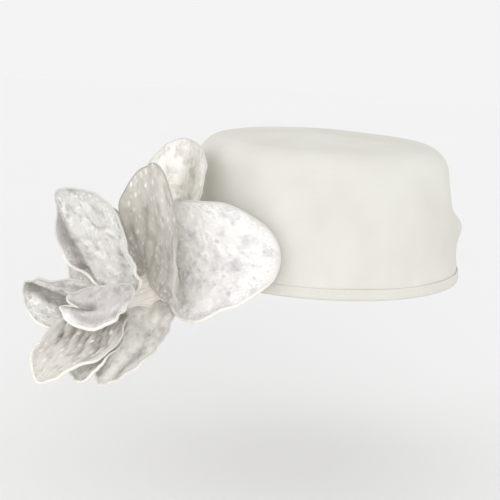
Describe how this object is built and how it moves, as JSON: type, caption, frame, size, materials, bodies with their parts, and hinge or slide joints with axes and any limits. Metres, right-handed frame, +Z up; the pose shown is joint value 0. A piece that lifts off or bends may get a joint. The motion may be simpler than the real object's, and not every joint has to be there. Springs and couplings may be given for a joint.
{
  "type": "fascinator",
  "caption": "Pillbox-shaped fascinator hat: a moulded ivory crown, open below, with a large wired cloth flower low on one side and a comb inside the rim.",
  "frame": {"origin": "the middle of the head opening, in the plane of the rim", "axes": "+Z up the crown, -Y to the front of the hat, -X to the side with the flower"},
  "size_m": [0.2263, 0.1695, 0.1287],
  "materials": {
    "crown_cloth": "matte ivory cloth, finely woven",
    "throat_cloth": "gathered beige cloth",
    "petal_lace": "white and silver brocade with a light piped edge",
    "petal_brocade": "taupe and silver brocade with a light piped edge",
    "petal_satin": "pale mauve satin with a light piped edge",
    "comb_horn": "clear horn-coloured plastic"
  },
  "bodies": {
    "root": {"crown": "crown_cloth", "flower_base": "throat_cloth", "petal_front": "petal_lace", "petal_top": "petal_lace", "petal_shade": "petal_brocade", "petal_hem": "petal_lace", "petal_back": "petal_brocade", "petal_upper": "petal_lace", "petal_far": "petal_lace", "petal_left": "petal_lace", "petal_lower": "petal_brocade", "petal_under": "petal_lace", "petal_throat": "petal_satin", "comb": "comb_horn"}
  },
  "joints": []
}
